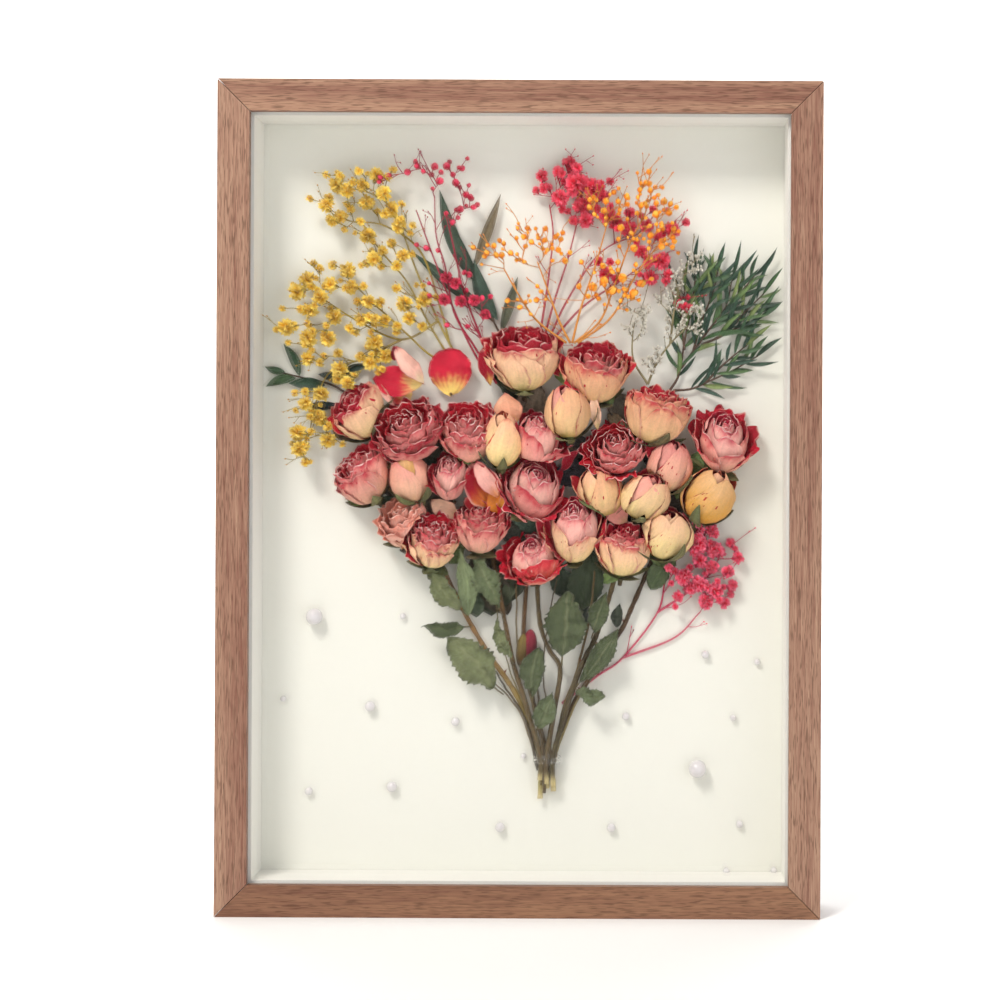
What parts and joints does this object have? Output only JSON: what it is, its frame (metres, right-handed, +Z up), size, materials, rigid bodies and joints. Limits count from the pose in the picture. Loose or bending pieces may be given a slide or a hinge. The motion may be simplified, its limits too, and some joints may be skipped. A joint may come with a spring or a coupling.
{
  "type": "dried flower frame",
  "caption": "Deep upright wooden frame with a bouquet of dried roses, dyed gypsophila and foliage on a cream card behind clear glazing.",
  "frame": {"origin": "middle of the underside of the frame", "axes": "+Z up along the frame's height, +X to the right seen from the front, front towards -Y"},
  "size_m": [0.321, 0.045, 0.444],
  "materials": {
    "walnut_foil": "satin walnut grain",
    "clear_glazing": "clear",
    "white_board": "matte white",
    "cream_card": "matte cream",
    "fibreboard": "brown board",
    "steel": "bright",
    "crimson_petals": "dried crimson petals",
    "pink_petals": "dried pink petals",
    "cream_petals": "dried cream petals",
    "rose_stem": "dried stem",
    "clear_thread": "clear thread",
    "yellow_florets": "dyed yellow",
    "crimson_florets": "dyed crimson",
    "red_florets": "dyed red",
    "orange_florets": "dyed orange",
    "pink_florets": "dyed pink",
    "grey_florets": "dried grey",
    "dark_leaf": "dried dark green",
    "green_leaf": "dried green",
    "pearl": "pearl lustre"
  },
  "bodies": {
    "root": {"rail_top": "walnut_foil", "rail_bottom": "walnut_foil", "rail_left": "walnut_foil", "rail_right": "walnut_foil", "glazing": "clear_glazing", "spacer_frame": "white_board", "card": "cream_card", "back_panel": "fibreboard", "tab_top": "steel", "tab_bottom": "steel", "tab_left": "steel", "tab_right": "steel", "hanger_plate": "steel", "rose_crown": "crimson_petals", "rose_far_right": "crimson_petals", "rose_left_upper": "crimson_petals", "rose_dark_right": "crimson_petals", "rose_heart": "crimson_petals", "rose_low_centre_right": "crimson_petals", "rose_bottom_centre": "crimson_petals", "rose_left_centre_upper": "crimson_petals", "rose_crown_right": "crimson_petals", "petal_round": "crimson_petals", "petal_folded": "crimson_petals", "petal_cup": "crimson_petals", "rose_far_left_middle": "pink_petals", "rose_small_left": "pink_petals", "bud_pink_right": "pink_petals", "rose_ruffled_low_left": "pink_petals", "rose_low_right": "pink_petals", "rose_low_centre_left": "pink_petals", "rose_pink_centre": "pink_petals", "bud_pink_back": "pink_petals", "rose_cream_right": "cream_petals", "rose_far_left_upper": "cream_petals", "bud_cream_centre": "cream_petals", "bud_peach_centre": "cream_petals", "bud_left_middle": "cream_petals", "bud_yellow_right": "cream_petals", "bud_cream_low": "cream_petals", "rose_peach_low_left": "cream_petals", "bud_cream_back_right": "cream_petals", "stem_far_left": "rose_stem", "stem_left": "rose_stem", "stem_centre_left": "rose_stem", "stem_centre_right": "rose_stem", "stem_right": "rose_stem", "stem_far_right": "rose_stem", "thread_tie": "clear_thread", "spray_yellow": "yellow_florets", "spray_crimson": "crimson_florets", "spray_red": "red_florets", "spray_orange": "orange_florets", "spray_pink": "pink_florets", "sea_lavender": "grey_florets", "lance_leaves": "dark_leaf", "oval_leaf_sprig": "dark_leaf", "needle_foliage": "green_leaf", "pearl_large_left": "pearl", "pearl_large_right": "pearl"}
  },
  "joints": []
}
